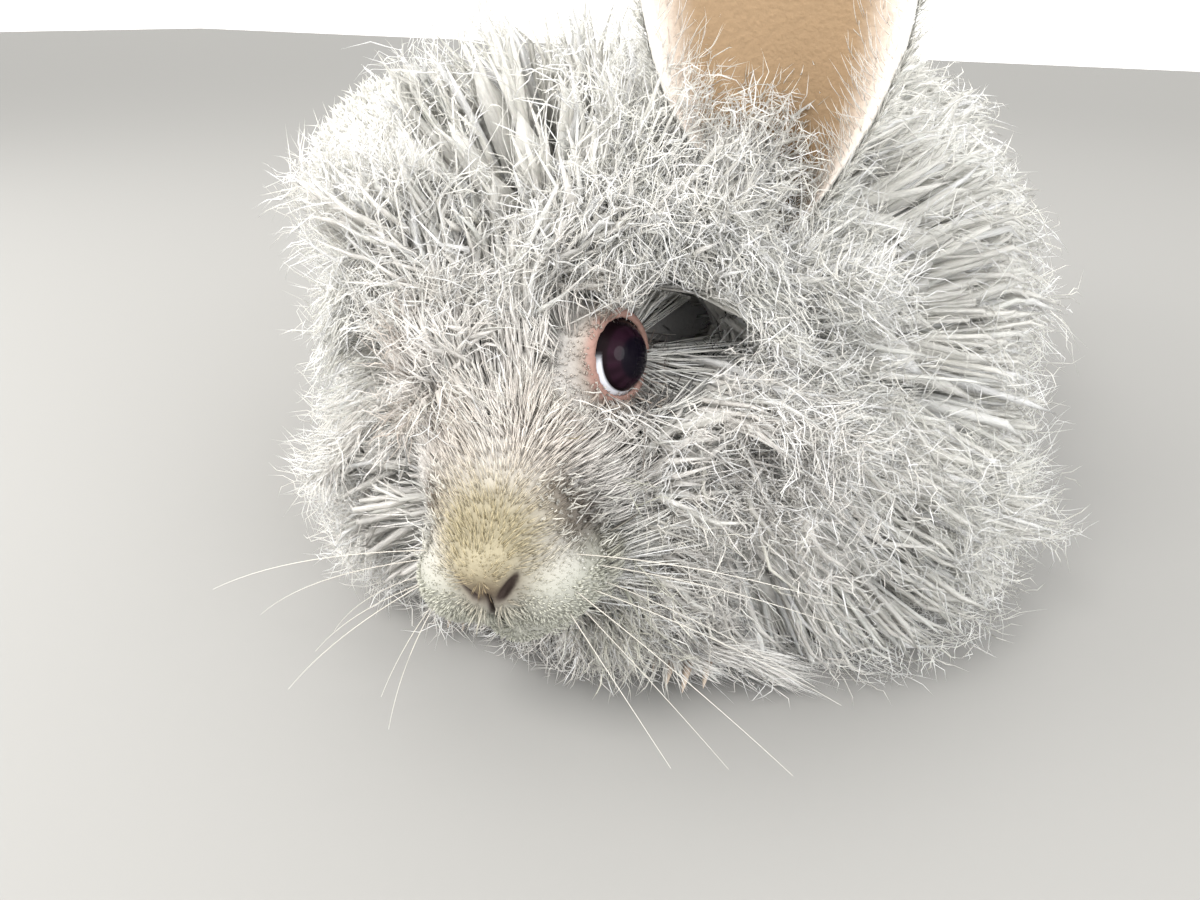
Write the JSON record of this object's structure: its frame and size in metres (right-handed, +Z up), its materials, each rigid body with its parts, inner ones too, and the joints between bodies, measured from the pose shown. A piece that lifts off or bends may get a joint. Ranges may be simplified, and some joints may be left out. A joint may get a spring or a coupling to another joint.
{
  "type": "angora rabbit",
  "caption": "Life-size still model of a crouching angora rabbit with its head low, one ear upright and one laid back, under a deep coat of pale grey wool.",
  "frame": {"origin": "on the floor, in the flat under the belly", "axes": "+Z up, -Y the way the rabbit faces, +X its left side"},
  "size_m": [0.2241, 0.3873, 0.2008],
  "materials": {
    "face_wool": "short fur on the face and long wool on crown and cheeks, pale warm grey, cream at the nose",
    "wool": "long fine wool, pale warm grey, matt",
    "eye": "wet gloss, very dark purple brown",
    "ear": "thin pinkish tan skin inside, short pale fur outside, long pale fringe",
    "leg_fur": "short dense pale grey fur, small dark claws"
  },
  "bodies": {
    "root": {"head": "face_wool", "neck": "wool", "torso": "wool", "tail": "wool", "eye_left": "eye", "eye_right": "eye", "ear_left": "ear", "ear_right": "ear", "foreleg_left": "leg_fur", "foreleg_right": "leg_fur", "hindleg_left": "leg_fur", "hindleg_right": "leg_fur"}
  },
  "joints": []
}
